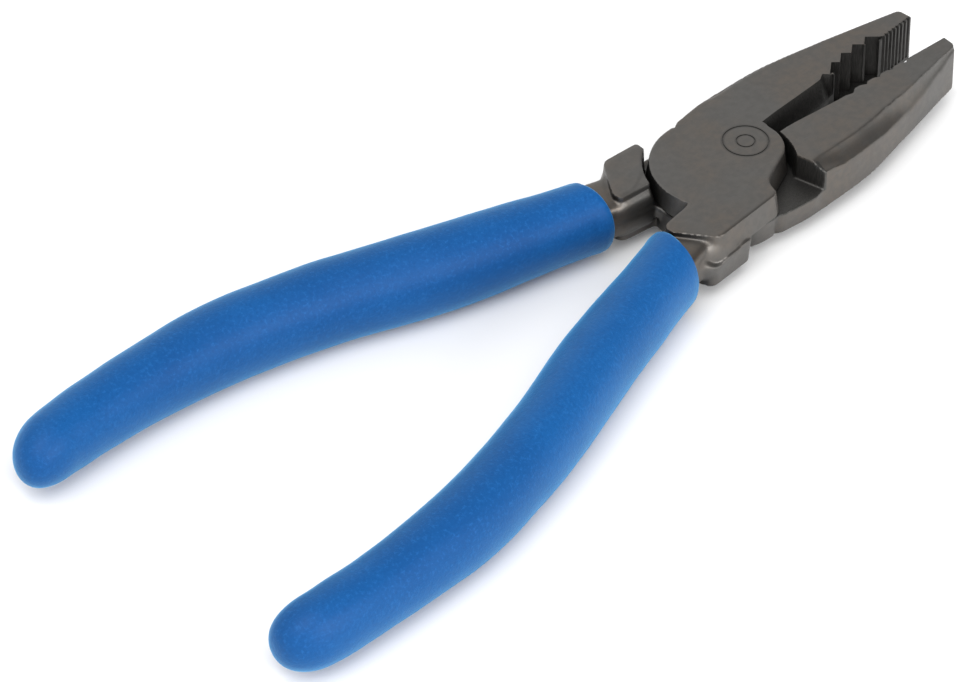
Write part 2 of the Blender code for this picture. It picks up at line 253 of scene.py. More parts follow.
def lever_outline():
    """The outline of a lever's upper half, anticlockwise from the cutter's throat."""
    throat = RECESS_RADIUS
    lobe = throat - 0.15
    side = -SHOULDER_HALF_WIDTH
    points = [(throat, MEETING_GAP + 0.25), (14.5, MEETING_GAP + 0.1), (16.5, MEETING_GAP)]
    points += [(FINE_START, 0.15), (JAW_REACH, 0.03)]
    points += jaw_outer_side()
    points += arc(JOINT_RADIUS, 82, 192, 44)
    points += [(-JOINT_RADIUS, -SHOULDER_INNER + 0.2), (-1.05 * JOINT_RADIUS, -SHOULDER_INNER)]
    points += shoulder_end(side, 0.77)
    points += [(-0.5, side), (0.4, side + 0.35)]
    points += bend((1.1, 0.83 * side), (1.6, 0.74 * side), (2.9, 0.7 * side), 6)
    points += bend((0.72 * lobe, -0.5 * lobe), (1.0 * lobe, -0.33 * lobe), (lobe, -0.01 * lobe), 12)
    return points


def block_outline(corner):
    """The lower half of the shoulder, a little wider than the upper one."""
    side = -BLOCK_HALF_WIDTH
    points = shoulder_end(side, corner)
    points += bend((-BLOCK_END - 1.2, side), (-BLOCK_END, side), (-BLOCK_END, side + 1.2), 6)
    return points + [(-BLOCK_END, -0.7 * BLOCK_HALF_WIDTH)]


def recess_outline():
    """The room for the other lever's half of the joint, under this lever's upper half."""
    far = 2 * HEAD_HALF_WIDTH
    points = arc(RECESS_RADIUS, -20, 32, 24)
    points += [(0.98 * RECESS_RADIUS, 1.02 * HEAD_HALF_WIDTH), (RECESS_RADIUS, far), (-far, far)]
    points += [(-far, -1.2 * SHOULDER_INNER)]
    block_angle = 360 - math.degrees(math.acos(-BLOCK_END / RECESS_RADIUS))
    points += arc(RECESS_RADIUS, 195, block_angle, 20)
    return points + [(-BLOCK_END, -far), (RECESS_RADIUS, -far)]


# ---- forged shape as a distance field


def outline_distance(outline, xs, ys):
    """Distance from each point of a flat grid to a closed outline, negative inside it."""
    px, py = np.meshgrid(xs, ys, indexing="ij")
    nearest = np.full(px.shape, 1e9)
    inside = np.zeros(px.shape, bool)
    for (x0, y0), (x1, y1) in zip(outline, outline[1:] + outline[:1]):
        dx, dy = x1 - x0, y1 - y0
        length = dx * dx + dy * dy
        if length < 1e-9:
            continue
        t = np.clip(((px - x0) * dx + (py - y0) * dy) / length, 0, 1)
        nearest = np.minimum(nearest, (px - x0 - t * dx) ** 2 + (py - y0 - t * dy) ** 2)
        if dy:
            inside ^= ((y0 > py) != (y1 > py)) & (px < x0 + (py - y0) * dx / dy)
    return np.where(inside, -1, 1) * np.sqrt(nearest)


def both(a, b, radius):
    """What lies in both shapes, with the edge between them rounded to radius."""
    rounded = np.sqrt(np.maximum(a + radius, 0) ** 2 + np.maximum(b + radius, 0) ** 2)
    return np.minimum(-radius, np.maximum(a, b)) + rounded


def either(a, b, radius):
    """What lies in either shape, with the corner between them filled to radius."""
    return -both(-a, -b, radius)


def ease(low, high, x):
    t = np.clip((x - low) / (high - low), 0, 1)
    return t * t * (3 - 2 * t)


def outer_flat(x, y, z, share):
    """How far a point is outside the slightly hollow flat milled along the jaw's outer edge."""
    width = along([(row[0], row[1]) for row in OUTER_FLAT], x) * share
    depth = along([(row[0], row[2]) for row in OUTER_FLAT], x) * share
    side = sorted(jaw_outer_side())
    edge = np.interp(x, [p[0] for p in side], [p[1] for p in side])
    length = np.sqrt(width**2 + depth**2)
    out = ((y - edge + width) * depth + (z - HEAD_THICKNESS) * width) / length
    across = np.clip(((y - edge + width) * width - (z - HEAD_THICKNESS) * depth) / length**2, 0, 1)
    return out + 1.1 * across * (1 - across) * ease(10, 14, x) - 3 * (1 - ease(6, 9, x))


def forging_field(xs, ys, zs, draft, edge, corner):
    """The lever's forged shape down to its tang, as distances that are negative inside."""
    x, y, z = xs[:, None, None], ys[None, :, None], zs[None, None, :]
    away = np.abs(z - MIDDLE)
    rise = (MIDDLE - away) * math.tan(draft)
    upper = outline_distance(lever_outline(), xs, ys)[:, :, None]
    straight_jaw = ease(9.5, 12.2, x) * ease(-2.0, 0.0, y)
    straight_shoulder = (1 - ease(-11, -9, x)) * ease(-7, -5, y)
    forged = (1 - straight_jaw) * (1 - straight_shoulder)
    solid = both(upper - rise * forged, away - MIDDLE, edge)
    wave = 0.35 * np.sin(0.55 * x + 0.6) + 0.15 * np.sin(1.3 * x)
    block = outline_distance(block_outline(corner), xs, ys)[:, :, None]
    block = both(block - 0.6 * rise * forged, np.maximum(-z, z - MIDDLE - wave), edge)
    block = both(block, y + SHOULDER_INNER - 0.2 + 0.32 * (MIDDLE - z), edge)
    solid = either(solid, block, 0.3)
    recess = outline_distance(recess_outline(), xs, ys)[:, :, None] - 0.05 * (MIDDLE - z)
    solid = both(solid, -both(recess, z - MIDDLE - 0.1, 0.25), 0.1)
    solid = both(solid, outer_flat(x, y, z, 0.25), 0.15)
    solid = both(solid, outer_flat(x, y, HEAD_THICKNESS - z, 1.0), 0.15)
    middle, slope = handle_line(x)
    half = along(TANG_HALF_WIDTHS, x)
    side = np.abs(y - middle) / np.sqrt(1 + slope**2) / half
    up = away / along(NECK_HALF_HEIGHTS, x)
    neck = ((side**5 + up**5) ** 0.2 - 1) * half
    neck = np.maximum(neck, np.maximum(x + 12.5, -29.5 - x))
    fillet = 0.35 + 2.2 * np.clip(1 - (away / (0.8 * MIDDLE)) ** 2, 0, 1)
    return either(solid, neck, fillet)


def skin_of(field, origin, cell):
    """The closed skin of a field: points in millimetres and four-cornered faces."""
    inside = field < 0
    shape = np.array(field.shape) - 1
    count = np.zeros(shape, np.int8)
    corners = [(a, b, c) for a in (0, 1) for b in (0, 1) for c in (0, 1)]
    for a, b, c in corners:
        count += inside[a : a + shape[0], b : b + shape[1], c : c + shape[2]]
    cells = np.argwhere((count > 0) & (count < 8))
    number = np.full(shape, -1, np.int64)
    number[tuple(cells.T)] = np.arange(len(cells))
    value = {o: field[tuple((cells + o).T)] for o in corners}
    total = np.zeros((len(cells), 3))
    hits = np.zeros((len(cells), 1))
    for o in corners:
        for axis in range(3):
            if o[axis]:
                continue
            far = tuple(v + (k == axis) for k, v in enumerate(o))
            first, second = value[o], value[far]
            crossed = (first < 0) != (second < 0)
            share = np.where(crossed, first / np.where(crossed, first - second, 1), 0)
            point = np.repeat(np.array([o], float), len(cells), 0)
            point[:, axis] += share
            total += point * crossed[:, None]
            hits += crossed[:, None]
    points = cells + total / hits
    slopes = np.stack(np.gradient(field), -1)

    def read(grid, at):
        base = np.clip(np.floor(at).astype(int), 0, np.array(field.shape) - 2)
        part = at - base
        result = 0
        for o in corners:
            weight = np.prod(np.where(o, part, 1 - part), 1)
            sample = grid[tuple((base + o).T)]
            result = result + (weight[:, None] * sample if sample.ndim == 2 else weight * sample)
        return result

    for _ in range(4):
        slope = read(slopes, points)
        step = slope * (read(field, points) / np.maximum((slope**2).sum(1), 1e-9))[:, None]
        points -= np.clip(step, -0.4, 0.4)
    faces = []
    for axis in range(3):
        u, v = (axis + 1) % 3, (axis + 2) % 3
        start, end = [slice(None)] * 3, [slice(None)] * 3
        start[axis], end[axis] = slice(0, -1), slice(1, None)
        entering = inside[tuple(start)] & ~inside[tuple(end)]
        leaving = ~inside[tuple(start)] & inside[tuple(end)]
        for mask, order in ((entering, 1), (leaving, -1)):
            at = np.argwhere(mask)
            ring = []
            for du, dv in ((-1, -1), (0, -1), (0, 0), (-1, 0)):
                shifted = at.copy()
                shifted[:, u] += du
                shifted[:, v] += dv
                ring.append(number[tuple(shifted.T)])
            faces.append(np.stack(ring[::order], 1))
    return points * cell + origin, np.concatenate(faces)


# ---- node graphs


class Wire:
    """A node's output, on which sums are written as plain arithmetic."""

    def __init__(self, graph, socket):
        self.graph = graph
        self.socket = socket

    def sum(self, operation, *terms):
        return self.graph.node("ShaderNodeMath", {"operation": operation}, dict(enumerate(terms)))

    def __add__(self, other):
        return self.sum("ADD", self, other)

    __radd__ = __add__

    def __sub__(self, other):
        return self.sum("SUBTRACT", self, other)

    def __rsub__(self, other):
        return self.sum("SUBTRACT", other, self)

    def __mul__(self, other):
        return self.sum("MULTIPLY", self, other)

    __rmul__ = __mul__

    def __truediv__(self, other):
        return self.sum("DIVIDE", self, other)

    def __rtruediv__(self, other):
        return self.sum("DIVIDE", other, self)

    def __pow__(self, other):
        return self.sum("POWER", self, other)

    def __abs__(self):
        return self.sum("ABSOLUTE", self)

    def sign(self):
        return self.sum("SIGN", self)

    def sine(self):
        return self.sum("SINE", self)


class Graph:
    """A node tree that is filled one node at a time."""

    def __init__(self, tree):
        self.tree = tree
        self.made = 0

    def node(self, kind, settings=None, sockets=None, out=0):
        """Adds a node: its settings first, then each socket's value or the wire that feeds it."""
        node = self.tree.nodes.new(kind)
        node.location = (200 * (self.made % 12), -260 * (self.made // 12))
        self.made += 1
        for key, value in (settings or {}).items():
            if key == "stops":
                self.set_stops(node.color_ramp, value)
            else:
                setattr(node, key, value)
        for key, value in (sockets or {}).items():
            socket = node.inputs[key]
            if isinstance(value, Wire):
                self.tree.links.new(value.socket, socket)
            else:
                socket.default_value = value
        return Wire(self, node.outputs[out]) if len(node.outputs) else node

    @staticmethod
    def set_stops(ramp, stops):
        while len(ramp.elements) < len(stops):
            ramp.elements.new(0.5)
        for element, (position, colour) in zip(ramp.elements, stops):
            element.position = position
            element.color = colour if len(colour) == 4 else (*colour, 1.0)

    def mix(self, factor, first, second):
        sockets = {0: factor, 6: first, 7: second}
        return self.node("ShaderNodeMix", {"data_type": "RGBA"}, sockets, 2)

    def noise(self, place, scale, detail=2.0, roughness=0.5):
        sockets = {"Vector": place, "Scale": scale, "Detail": detail, "Roughness": roughness}
        return self.node("ShaderNodeTexNoise", None, sockets)

    def band(self, value, low, high):
        """0 below low, 1 above high and a smooth step between them."""
        sockets = {"Value": value, "From Min": low, "From Max": high}
        return self.node("ShaderNodeMapRange", {"interpolation_type": "SMOOTHSTEP"}, sockets)

    def vector(self, operation, first, second, out=0):
        sockets = {0: first, 1: second}
        return self.node("ShaderNodeVectorMath", {"operation": operation}, sockets, out)

    def scaled(self, vector, scale):
        sockets = {0: vector, "Scale": scale}
        return self.node("ShaderNodeVectorMath", {"operation": "SCALE"}, sockets)

    def part(self, place, axis):
        """A place's x for axis 0, y for 1 or z for 2."""
        return self.node("ShaderNodeSeparateXYZ", None, {0: place}, axis)

    def xyz(self, **parts):
        return self.node("ShaderNodeCombineXYZ", None, {key.upper(): v for key, v in parts.items()})

    def bump(self, height, strength, distance):
        sockets = {"Strength": strength, "Distance": distance, "Height": height}
        return self.node("ShaderNodeBump", None, sockets)

    def moved(self, geometry, **sockets):
        """The geometry under a transform, given as translation, rotation or scale."""
        sockets = {key.capitalize(): value for key, value in sockets.items()}
        return self.node("GeometryNodeTransform", None, {"Geometry": geometry, **sockets})


def input_of(tree, name, kind, default):
    socket = tree.interface.new_socket(name=name, in_out="INPUT", socket_type="NodeSocket" + kind)
    if default is not None:
        socket.default_value = default
    return socket


def geometry_tree(name, inputs):
    """A geometry node tree with named inputs: the graph and the inputs' wires by name."""
    tree = bpy.data.node_groups.new(name, "GeometryNodeTree")
    input_of(tree, "Geometry", "Geometry", None)
    for label, kind, default in inputs:
        input_of(tree, label, kind, default)
    tree.interface.new_socket(name="Geometry", in_out="OUTPUT", socket_type="NodeSocketGeometry")
    graph = Graph(tree)
    start = tree.nodes.new("NodeGroupInput")
    wires = {socket.name: Wire(graph, socket) for socket in start.outputs if socket.name}
    return graph, wires


def end_tree(graph, geometry, material):
    """Ends a geometry tree in real geometry with its material."""
    real = graph.node("GeometryNodeRealizeInstances", None, {0: geometry})
    painted = graph.node("GeometryNodeSetMaterial", None, {"Geometry": real, "Material": material})
    end = graph.tree.nodes.new("NodeGroupOutput")
    graph.tree.links.new(painted.socket, end.inputs[0])
    return graph.tree


def grown(name, base, tree, values):
    """The plain mesh that a geometry tree makes from a base mesh and its inputs' values."""
    holder = bpy.data.objects.new(name + "_base", base)
    bpy.context.scene.collection.objects.link(holder)
    modifier = holder.modifiers.new("shape", "NODES")
    modifier.node_group = tree
    for item in tree.interface.items_tree:
        if item.in_out == "INPUT" and item.name in values:
            modifier[item.identifier] = values[item.name]
    bpy.context.view_layer.update()
    graph = bpy.context.evaluated_depsgraph_get()
    mesh = bpy.data.meshes.new_from_object(holder.evaluated_get(graph))
    bpy.data.objects.remove(holder)
    mesh.name = name
    if not mesh.polygons:
        raise RuntimeError(f"{name} came out empty")
    return mesh


# ---- finishes


def finish_start(name):
    """A new material: its graph, its shader and the place on the object in millimetres."""
    made = bpy.data.materials.new(name)
    made.use_nodes = True
    graph = Graph(made.node_tree)
    shader = made.node_tree.nodes["Principled BSDF"]
    place = graph.scaled(graph.node("ShaderNodeTexCoord", None, None, 3), 1 / MM)
    return made, graph, shader, place


def feed(graph, shader, colour, roughness, normal):
    for wire, name in ((colour, "Base Color"), (roughness, "Roughness"), (normal, "Normal")):
        graph.tree.links.new(wire.socket, shader.inputs[name])


def toned(colour, share):
    """A colour made lighter or darker, with its alpha."""
    return (*(share * c for c in colour), 1)


def ring_mark(graph, place, radius, width):
    """1 on a ring stamped in the front face of the resting head and 0 elsewhere."""
    centre = Matrix.Rotation(math.radians(REST_HALF_ANGLE), 3, "Z") @ Vector((*RING_CENTRE, 0))
    reach = graph.vector("DISTANCE", graph.vector("MULTIPLY", place, (1, 1, 0)), centre, 1)
    return 1 - graph.band(abs(reach - radius), 0.3 * width, width)


def painted_recess_shade(graph, colour, base, depth):
    """Painted shade: the colour darkened by ambient occlusion where little light reaches, as in
    corners and pockets.
    """
    ao_openness = graph.node("ShaderNodeAmbientOcclusion", {"samples": 8}, {"Distance": 8 * MM}, 1)
    return graph.mix((1 - graph.band(ao_openness, 0.3, 0.95)) * depth, colour, toned(base, 0.2))


def forged_skin(settings, name, stamped, worn_and_shaded=True):
    """Blackened forging skin: satin, faintly mottled, with pale worn edges and painted shade
    darkening its corners and pockets.
    """
    made, graph, shader, place = finish_start(name)
    broad = graph.noise(place, 0.09, 3.0, 0.55)
    mottle = graph.noise(place, 0.8, 4.0, 0.6)
    grain = graph.noise(place, 5.0, 3.0, 0.6)
    rub = graph.noise(graph.vector("MULTIPLY", place, (0.35, 2.2, 0.7)), 1.1, 3.0, 0.6)
    base = tuple(settings.steel_colour)
    warm = (1.10 * base[0], base[1], 0.92 * base[2], 1)
    burnt = (1.3 * base[0], 0.98 * base[1], 0.74 * base[2], 1)
    colour = graph.mix(graph.band(broad, 0.35, 0.65), toned(base, 1), warm)
    colour = graph.mix(graph.band(mottle, 0.3, 0.72) * 0.7, colour, toned(base, 0.86))
    colour = graph.mix(graph.band(rub, 0.55, 0.8) * 0.5, colour, toned(base, 1.14))
    heat = (1 - graph.band(graph.part(place, 0), -21.5, -15.5)) * graph.band(rub, 0.3, 0.6)
    colour = graph.mix(heat * 0.6, colour, burnt)
    point = graph.node("ShaderNodeNewGeometry", None, None, "Pointiness")
    worn = graph.band(point, 0.53, 0.62) * graph.band(mottle, 0.25, 0.6) * (1.0 if worn_and_shaded else 0.0)
    colour = graph.mix(worn * 0.15, colour, toned(base, 1.4))
    if worn_and_shaded:
        # Painted shade: the colour darkened in corners and pockets by ambient occlusion.
        colour = painted_recess_shade(graph, colour, base, 0.85)
    if stamped:
        mark = ring_mark(graph, place, RING_RADII[0], 0.5) * 0.9
        mark = mark + ring_mark(graph, place, RING_RADII[1], 0.45) * 0.7
        face = graph.band(graph.part(place, 2), HEAD_THICKNESS - 0.3, HEAD_THICKNESS - 0.1)
        colour = graph.mix(mark * face * 0.7, colour, toned(base, 0.6))
    rough = settings.steel_roughness + 0.10 * (mottle - 0.5) + 0.08 * (grain - 0.5) - 0.08 * worn
    normal = graph.bump(0.5 * mottle + 0.35 * grain + 0.4 * rub, 0.35, 0.06 * MM)
    feed(graph, shader, colour, rough, normal)
    shader.inputs["Metallic"].default_value = 0.9
    shader.inputs["Specular IOR Level"].default_value = 0.4
    return made


def ground_face(settings):
    """Ground and cut faces: darker oiled steel with fine straight grinding lines across the jaw,
    and painted shade in their corners and pockets.
    """
    made, graph, shader, place = finish_start("ground_finish")
    lines = graph.noise(graph.vector("MULTIPLY", place, (5.0, 5.0, 0.35)), 1.6, 3.0, 0.6)
    mottle = graph.noise(place, 0.7, 3.0, 0.55)
    base = toned(settings.steel_colour, 0.62)[:3]
    colour = graph.mix(graph.band(lines, 0.3, 0.75), toned(base, 0.7), toned(base, 1.35))
    colour = graph.mix(graph.band(mottle, 0.35, 0.7) * 0.4, colour, toned(base, 1))
    # Painted shade: the colour darkened in corners and pockets by ambient occlusion.
    colour = painted_recess_shade(graph, colour, base, 0.4)
    normal = graph.bump(lines + 0.3 * mottle, 0.4, 0.05 * MM)
    feed(graph, shader, colour, 0.34 + 0.16 * lines, normal)
    shader.inputs["Metallic"].default_value = 0.9
    return made


def dipped_plastic(settings):
    """Dipped plastic: soft blue with faint speckle, slight unevenness and a paler rim on its
    sharpest edges.
    """
    made, graph, shader, place = finish_start("dipped_finish")
    cloud = graph.noise(place, 0.05, 3.0, 0.5)
    speckle = graph.noise(place, 1.6, 4.0, 0.7)
    fine = graph.noise(place, 4.5, 2.0, 0.6)
    runs = graph.noise(graph.vector("MULTIPLY", place, (0.12, 0.6, 0.6)), 0.5, 2.0, 0.5)
    base = tuple(settings.grip_colour)
    deep = (0.6 * base[0], 0.72 * base[1], 0.78 * base[2], 1)
    pale = (3.5 * base[0], 1.5 * base[1], 1.35 * base[2], 1)
    chalky = (0.03 + pale[0], 0.04 + pale[1], 0.06 + pale[2], 1)
    colour = graph.mix(graph.band(cloud, 0.35, 0.65) * 0.6, toned(base, 1), deep)
    colour = graph.mix(graph.band(speckle, 0.5, 0.72) * 0.6, colour, pale)
    colour = graph.mix((1 - graph.band(speckle, 0.28, 0.5)) * 0.6, colour, deep)
    point = graph.node("ShaderNodeNewGeometry", None, None, "Pointiness")
    colour = graph.mix(graph.band(point, 0.6, 0.7) * 0.5, colour, chalky)
    rough = settings.grip_roughness + 0.12 * (speckle - 0.5) + 0.1 * (cloud - 0.5)
    normal = graph.bump(0.7 * speckle + 0.3 * fine + 1.2 * runs, 0.4, 0.2 * MM)
    feed(graph, shader, colour, rough, normal)
    shader.inputs["Specular IOR Level"].default_value = 0.15
    shader.inputs["Sheen Weight"].default_value = 0.8
    shader.inputs["Sheen Roughness"].default_value = 0.4
    shader.inputs["Sheen Tint"].default_value = (0.16, 0.55, 0.9, 1.0)
    return made


def finishes(settings):
    """The materials, made once and found by name afterwards."""
    made = bpy.data.materials
    if "front_lever_finish" not in made:
        forged_skin(settings, "front_lever_finish", True)
        forged_skin(settings, "back_lever_finish", False)
        forged_skin(settings, "rivet_finish", False, worn_and_shaded=False)
        ground_face(settings)
        dipped_plastic(settings)
    return made


# ---- shapes made with geometry nodes


def tooth_row_tree(material):
    """A row of straight wedges that cut teeth: along X, each with its point up the jaw."""
    graph, given = geometry_tree("tooth row", [
        ("Teeth", "Int", 4),
        ("Start", "Float", 0.03),
        ("Pitch", "Float", 0.003),
        ("Tip Height", "Float", 0.001),
        ("Slope", "Float", 0.0),
        ("Arch", "Float", 0.0),
        ("Half Width", "Float", 0.0015),
        ("Depth", "Float", 0.001),
        ("Lean", "Float", 0.0),
        ("Middle", "Float", 0.00455),
        ("Thickness", "Float", 0.02),
    ])
    # A three-sided cylinder of radius 1 is 1.5 high and half of it 0.866 wide. The wedge is made
    # larger than the tooth by spread, so that it starts well outside the jaw
    spread = 1.6
    sockets = {"Vertices": 3, "Radius": 1.0, "Depth": 1.0}
    wedge = graph.node("GeometryNodeMeshCylinder", None, sockets)
    turned = graph.moved(wedge, rotation=(0, 0, math.pi / 2))
    shaped = graph.moved(turned, scale=graph.xyz(
        x=given["Half Width"] * (spread / 0.8660254),
        y=given["Depth"] * (spread / 1.5),
        z=given["Thickness"],
    ))
    placed = graph.moved(shaped, translation=graph.xyz(y=given["Depth"] * (1 - spread / 1.5)))
    leant = graph.moved(placed, rotation=graph.xyz(z=given["Lean"]))
    row = graph.node("GeometryNodeMeshLine", None, {
        "Count": given["Teeth"],
        "Start Location": graph.xyz(x=given["Start"]),
        "Offset": graph.xyz(x=given["Pitch"]),
    })
    number = graph.node("GeometryNodeInputIndex")
    rise = ((number + 0.5) / given["Teeth"] * math.pi).sine()
    lift = given["Tip Height"] + given["Arch"] * rise + given["Slope"] * given["Pitch"] * number
    lift = graph.xyz(y=lift, z=given["Middle"])
    row = graph.node("GeometryNodeSetPosition", None, {"Geometry": row, "Offset": lift})
    copies = graph.node("GeometryNodeInstanceOnPoints", None, {"Points": row, "Instance": leant})
    return end_tree(graph, copies, material)


def bar_tree(name, material):
    """A bar along a line whose points carry its half-width. One end can be cut on a slant."""
    graph, given = geometry_tree(name, [
        ("Sides", "Int", 48),
        ("Height Ratio", "Float", 1.18),
        ("Squareness", "Float", 2.05),
        ("Mouth", "Float", -0.021),
        ("Mouth Middle", "Float", -0.0075),
        ("Slant", "Float", 0.17),
        ("Slant Length", "Float", 0.012),
        ("Unevenness", "Float", 0.0),
    ])
    sockets = {"Name": "half_width"}
    width = graph.node("GeometryNodeInputNamedAttribute", {"data_type": "FLOAT"}, sockets)
    line = graph.node("GeometryNodeMeshToCurve", None, {0: given["Geometry"]})
    line = graph.node("GeometryNodeSetCurveNormal", {"mode": "Z_UP"}, {0: line})
    sockets = {"Resolution": given["Sides"], "Radius": 1.0}
    circle = graph.node("GeometryNodeCurvePrimitiveCircle", None, sockets)
    place = graph.node("GeometryNodeInputPosition")
    across, up = graph.part(place, 0), graph.part(place, 1)
    power = 2 / given["Squareness"]
    across = across.sign() * abs(across) ** power
    up = up.sign() * abs(up) ** power * given["Height Ratio"]
    sockets = {"Geometry": circle, "Position": graph.xyz(x=across, y=up)}
    profile = graph.node("GeometryNodeSetPosition", None, sockets)
    bar = graph.node("GeometryNodeCurveToMesh", None, {
        "Curve": line, "Profile Curve": profile, "Scale": width, "Fill Caps": True,
    })
    near = graph.band(graph.part(place, 0), given["Mouth"] - given["Slant Length"], given["Mouth"])
    shift = (graph.part(place, 1) - given["Mouth Middle"]) * given["Slant"] * near
    sockets = {"Vector": place, "Scale": 90.0, "Detail": 1.0}
    uneven = graph.node("ShaderNodeTexNoise", None, sockets)
    swell = (uneven - 0.5) * given["Unevenness"] * (1 - near)
    swell = graph.scaled(graph.node("GeometryNodeInputNormal"), swell)
    bar = graph.node("GeometryNodeSetPosition", None, {"Geometry": bar, "Offset": swell})
    sockets = {"Geometry": bar, "Offset": graph.xyz(x=shift)}
    bar = graph.node("GeometryNodeSetPosition", None, sockets)
    return end_tree(graph, bar, material)


def line_mesh(name, stations):
    """A line of points at x, y and half-width, each in millimetres, at the head's mid-thickness."""
    mesh = bpy.data.meshes.new(name)
    points = [(x * MM, y * MM, MIDDLE * MM) for x, y, _ in stations]
    mesh.from_pydata(points, [(i, i + 1) for i in range(len(points) - 1)], [])
    widths = mesh.attributes.new("half_width", "FLOAT", "POINT")
    widths.data.foreach_set("value", [width * MM for _, _, width in stations])
    return mesh


def outward(mesh):
    """Turns a closed mesh the right way out."""
    mesh.update()
    mesh.calc_loop_triangles()
    volume = 0.0
    for triangle in mesh.loop_triangles:
        a, b, c = (mesh.vertices[i].co for i in triangle.vertices)
        volume += a.dot(b.cross(c))
    if volume < 0:
        mesh.flip_normals()


def object_of(name, mesh):
    made = bpy.data.objects.new(name, mesh)
    bpy.context.scene.collection.objects.link(made)
    return made


def cut(mesh, tools):
    """The mesh with each tool mesh taken out of it. A tool's faces keep its own material index."""
    target = object_of("cut_target", mesh)
    cutters = []
    for tool in tools:
        cutter = object_of("cutter", tool)
        cutters.append(cutter)
        modifier = target.modifiers.new("cut", "BOOLEAN")
        modifier.operation = "DIFFERENCE"
        modifier.solver = "MANIFOLD"
        modifier.object = cutter
    bpy.context.view_layer.update()
    graph = bpy.context.evaluated_depsgraph_get()
    result = bpy.data.meshes.new_from_object(target.evaluated_get(graph))
    for done in [target, *cutters]:
        bpy.data.objects.remove(done)
    if not result.polygons:
        raise RuntimeError("nothing was left after cutting")
    return result


def two_tone(mesh, forged, ground, index):
    """Gives a mesh both of a lever's materials, with all its faces on one of them."""
    mesh.materials.clear()
    mesh.materials.append(forged)
    mesh.materials.append(ground)
    mesh.polygons.foreach_set("material_index", [index] * len(mesh.polygons))
    return mesh


# ---- pieces


def loft(name, rings):
    """A closed mesh through rings of (x, y, z) corners in millimetres, with flat ends."""
    sides = len(rings[0])
    points = [tuple(c * MM for c in corner) for ring in rings for corner in ring]
    faces = []
    for i in range(0, len(points) - sides, sides):
        for k in range(sides):
            following = (k + 1) % sides
            faces.append((i + k, i + sides + k, i + sides + following, i + following))
    faces += [tuple(range(sides)), tuple(range(len(points) - sides, len(points)))[::-1]]
    mesh = bpy.data.meshes.new(name)
    mesh.from_pydata(points, [], faces)
    outward(mesh)
    return mesh


def turned_pin(name, radius, low, high, chamfer, sides=128):
    """A pin about the rivet's axis, with a chamfer at both ends unless it is 0."""
    rings = [(radius, low + chamfer), (radius, high - chamfer)]
    if chamfer:
        rings = [(radius - chamfer, low), *rings, (radius - chamfer, high)]
    angles = [2 * math.pi * i / sides for i in range(sides)]
    return loft(name, [[(r * math.cos(a), r * math.sin(a), z) for a in angles] for r, z in rings])


def ring_groove(radius, sides=96):
    """The tool for a shallow round groove stamped in the head's face."""
    floor, top = HEAD_THICKNESS - RING_DEPTH, HEAD_THICKNESS + 0.5
    section = [
        (radius - RING_HALF_WIDTH, top),
        (radius - 0.4 * RING_HALF_WIDTH, floor),
        (radius + 0.4 * RING_HALF_WIDTH, floor),
        (radius + RING_HALF_WIDTH, top),
    ]
    points, faces = [], []
    for i in range(sides):
        angle = 2 * math.pi * i / sides
        for reach, z in section:
            x = RING_CENTRE[0] + reach * math.cos(angle)
            y = RING_CENTRE[1] + reach * math.sin(angle)
            points.append((x * MM, y * MM, z * MM))
        j = (i + 1) % sides
        for k in range(4):
            following = (k + 1) % 4
            faces.append((4 * i + k, 4 * i + following, 4 * j + following, 4 * j + k))
    mesh = bpy.data.meshes.new("ring_groove")
    mesh.from_pydata(points, [], faces)
    outward(mesh)
    return mesh


def cutter_bevel(widths, face, turn):
    """The wedge that grinds one side of the wire cutter, up to the face at height face."""
    over, depth, y = 1.0, MIDDLE - 0.12, MEETING_GAP - 0.02
    rings = []
    for x, width in widths:
        wide = y + width * (1 + over / depth)
        corners = [(y - over, -depth), (y, -depth), (wide, over), (y - over, over)]
        rings.append([(x, across, face + turn * z) for across, z in corners])
    return loft("cutter_bevel", rings)


def joined(name, meshes):
    """One mesh holding several closed shells, with the materials of the first."""
    points, faces, marks = [], [], []
    for mesh in meshes:
        base = len(points)
        points += [tuple(v.co) for v in mesh.vertices]
        faces += [tuple(base + i for i in p.vertices) for p in mesh.polygons]
        marks += [p.material_index for p in mesh.polygons]
    made = bpy.data.meshes.new(name)
    made.from_pydata(points, [], faces)
    for material in meshes[0].materials:
        made.materials.append(material)
    made.polygons.foreach_set("material_index", marks)
    return made


def shade(mesh, angle):
    """Smooth shading with its sharp edges kept."""
    mesh.polygons.foreach_set("use_smooth", [True] * len(mesh.polygons))
    mesh.set_sharp_from_angle(angle=math.radians(angle))


def ground_faces(points, faces):
    """1 for each face ground after forging: the joint's recess and the jaw's meeting face."""
    x, y, z = points[faces].mean(1).T
    from_rivet = np.hypot(x, y)
    in_recess = (z < MIDDLE + 0.35) & (from_rivet < RECESS_RADIUS + 0.2) & (x > -BLOCK_END - 5)
    in_recess |= (z < MIDDLE + 0.35) & (abs(x) < RECESS_RADIUS + 0.2) & (y > 0)
    meeting = (x > RECESS_RADIUS) & (y < 0.35)
    return ((in_recess & (z > 0.3)) | meeting).astype(int).tolist()


